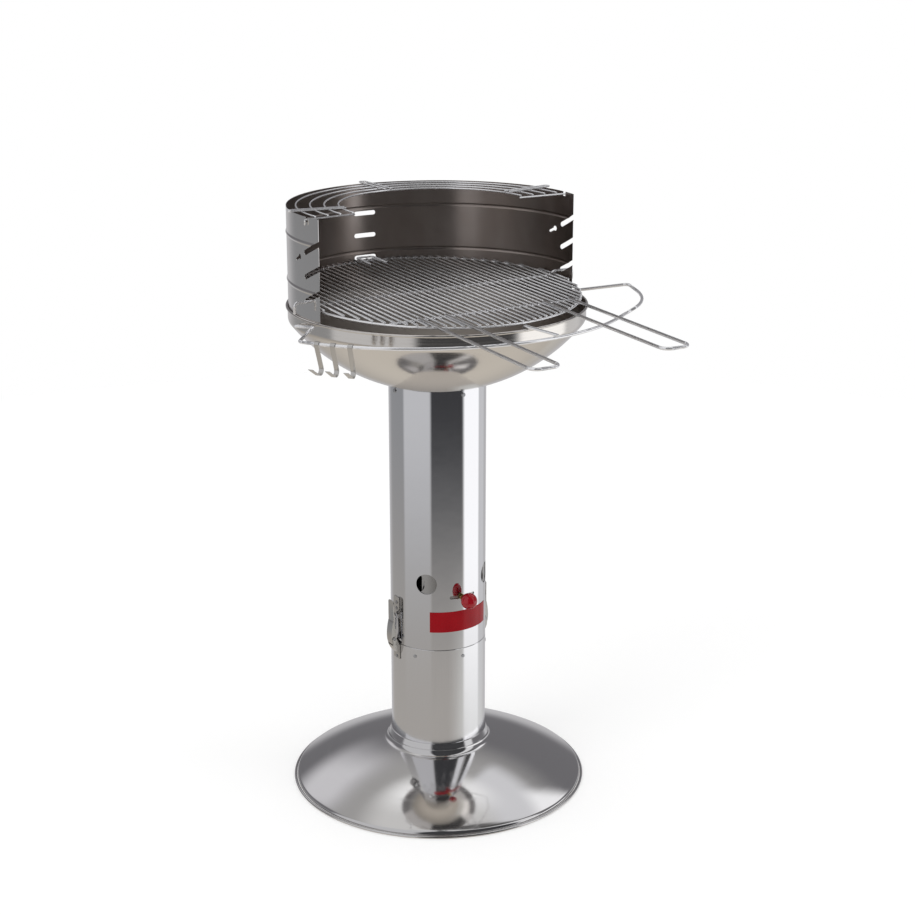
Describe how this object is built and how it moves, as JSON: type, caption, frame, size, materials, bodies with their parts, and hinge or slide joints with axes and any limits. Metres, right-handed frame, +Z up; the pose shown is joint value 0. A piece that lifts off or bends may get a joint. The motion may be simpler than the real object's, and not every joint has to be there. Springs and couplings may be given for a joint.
{
  "type": "pedestal charcoal barbecue",
  "caption": "Free-standing stainless charcoal barbecue: domed foot, latched column with rotary air control, round bowl, windshield, hung cooking grid, tool rail and warming rack.",
  "frame": {"origin": "on the column axis, at floor level", "axes": "+Z up, -Y towards the person cooking, +X to that person's right"},
  "size_m": [0.7105, 0.7696, 1.0626],
  "materials": {
    "polished": "mirror polished stainless steel",
    "satin": "satin stainless steel",
    "sheet": "plain mill-finish stainless sheet",
    "wire": "bright plated wire",
    "zinc": "zinc-plated fasteners",
    "grate": "dark steel bars",
    "brass": "turned brass",
    "red_label": "satin red film",
    "red_knob": "glossy red plastic"
  },
  "bodies": {
    "root": {"base_dome": "polished", "base_bolts": "zinc", "base_nuts": "zinc", "lower_column": "polished", "column_sleeve": "sheet", "sleeve_rivets": "zinc", "ash_basin": "sheet", "upper_column": "polished", "badge_band": "red_label", "latch_keepers": "satin", "latch_brackets": "satin", "latch_rivets": "zinc", "latch_pins": "zinc", "bowl": "satin", "bowl_screws": "zinc", "bowl_nuts": "zinc", "charcoal_grate": "grate", "windshield": "sheet", "windshield_screws": "zinc", "windshield_nuts": "zinc", "tool_rail": "wire", "grid_support": "wire"},
    "air_regulator": {"air_ring": "sheet", "knob_stud": "zinc", "knob_nut": "brass", "knob_ball": "red_knob"},
    "latch_lever_left": {"latch_lever_left": "satin"},
    "latch_lever_right": {"latch_lever_right": "satin"},
    "latch_bail_left": {"latch_bail_left": "wire"},
    "latch_bail_right": {"latch_bail_right": "wire"},
    "grid_set": {"cooking_grid": "wire", "grid_frame": "wire", "grid_hanger": "wire", "grid_tongue": "wire", "grid_handle_left": "wire", "grid_handle_right": "wire"},
    "warming_rack": {"rack_arcs": "wire", "rack_end_bars": "wire", "rack_hairpins": "wire"},
    "hook_1": {"hook_1": "wire"},
    "hook_2": {"hook_2": "wire"},
    "hook_3": {"hook_3": "wire"}
  },
  "joints": [
    {"name": "air_turn", "type": "hinge", "parent": "root", "child": "air_regulator", "pos_m": [0, 0, 0.3735], "axis": [0, 0, 1], "range_deg": [-13, 17]},
    {"name": "lever_left", "type": "hinge", "parent": "root", "child": "latch_lever_left", "pos_m": [-0.0965, 0, 0.285], "axis": [0, -1, 0], "range_deg": [0, 120]},
    {"name": "bail_left", "type": "hinge", "parent": "latch_lever_left", "child": "latch_bail_left", "pos_m": [-0.095, 0, 0.277], "axis": [0, -1, 0], "range_deg": [-110, 0]},
    {"name": "lever_right", "type": "hinge", "parent": "root", "child": "latch_lever_right", "pos_m": [0.0965, 0, 0.285], "axis": [0, 1, 0], "range_deg": [0, 120]},
    {"name": "bail_right", "type": "hinge", "parent": "latch_lever_right", "child": "latch_bail_right", "pos_m": [0.095, 0, 0.277], "axis": [0, 1, 0], "range_deg": [-110, 0]},
    {"name": "grid_draw", "type": "slide", "parent": "root", "child": "grid_set", "axis": [0, -0.9063, 0.4226], "range_m": [0, 0.036]},
    {"name": "rack_lift", "type": "slide", "parent": "root", "child": "warming_rack", "axis": [0, 0, 1], "range_m": [0, 0.08]},
    {"name": "hook_1_swing", "type": "hinge", "parent": "root", "child": "hook_1", "pos_m": [-0.32218, -0.1726, 0.889], "axis": [0.5461, -0.8377, 0], "range_deg": [-25, 25]},
    {"name": "hook_2_swing", "type": "hinge", "parent": "root", "child": "hook_2", "pos_m": [-0.30621, -0.19515, 0.889], "axis": [0.6088, -0.7934, 0], "range_deg": [-25, 25]},
    {"name": "hook_3_swing", "type": "hinge", "parent": "root", "child": "hook_3", "pos_m": [-0.28771, -0.21735, 0.889], "axis": [0.6704, -0.742, 0], "range_deg": [-25, 25]}
  ],
  "couplings": [
    {"joint": "bail_left", "follows": "lever_left", "ratio": -0.88},
    {"joint": "bail_right", "follows": "lever_right", "ratio": -0.88}
  ]
}
